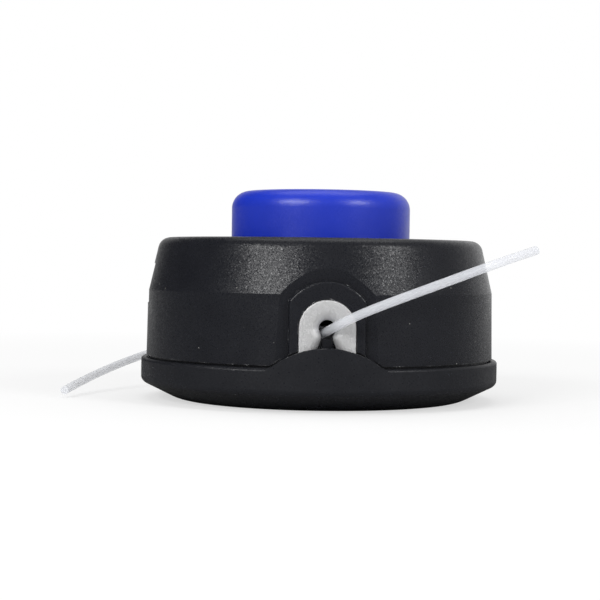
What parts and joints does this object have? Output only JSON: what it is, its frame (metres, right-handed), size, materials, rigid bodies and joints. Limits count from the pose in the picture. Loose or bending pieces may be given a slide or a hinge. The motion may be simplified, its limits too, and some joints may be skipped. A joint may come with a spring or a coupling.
{
  "type": "bump feed trimmer head",
  "caption": "Round line trimmer head with a bump knob, a sprung ratchet spool of wound line, metal eyelets for the cutting line and a hexagon drive nut in its foot.",
  "frame": {"origin": "centre of the flat foot of the cover, on the spin axis", "axes": "+Z along the spin axis towards the knob, -Y towards the front eyelet, the side latches on X"},
  "size_m": [0.1337, 0.1197, 0.0604],
  "materials": {
    "black_plastic": "black, fine moulded grain",
    "blue_plastic": "royal blue, satin gloss",
    "spool_plastic": "black, plain",
    "nylon_line": "translucent white nylon",
    "cast_eyelet": "satin, as cast",
    "steel": "bright zinc"
  },
  "bodies": {
    "head": {"housing": "black_plastic", "cover": "black_plastic", "eyelet_front": "cast_eyelet", "eyelet_rear": "cast_eyelet", "drive_nut": "steel", "return_spring": "steel", "line_front": "nylon_line", "line_rear": "nylon_line"},
    "thrust_washer": {"thrust_washer": "steel"},
    "spool": {"spool": "spool_plastic", "bump_knob": "blue_plastic", "winding_lower": "nylon_line", "winding_upper": "nylon_line"}
  },
  "joints": [
    {"name": "bump", "type": "slide", "parent": "head", "child": "thrust_washer", "axis": [0, 0, -1], "range_m": [0, 0.007], "stiffness_N_per_m": 2500, "springref_m": -0.008, "deforming": ["return_spring"]},
    {"name": "spool_turn", "type": "hinge", "parent": "thrust_washer", "child": "spool", "pos_m": [0, 0, 0], "axis": [0, 0, 1], "range_deg": [-20, 0]}
  ]
}
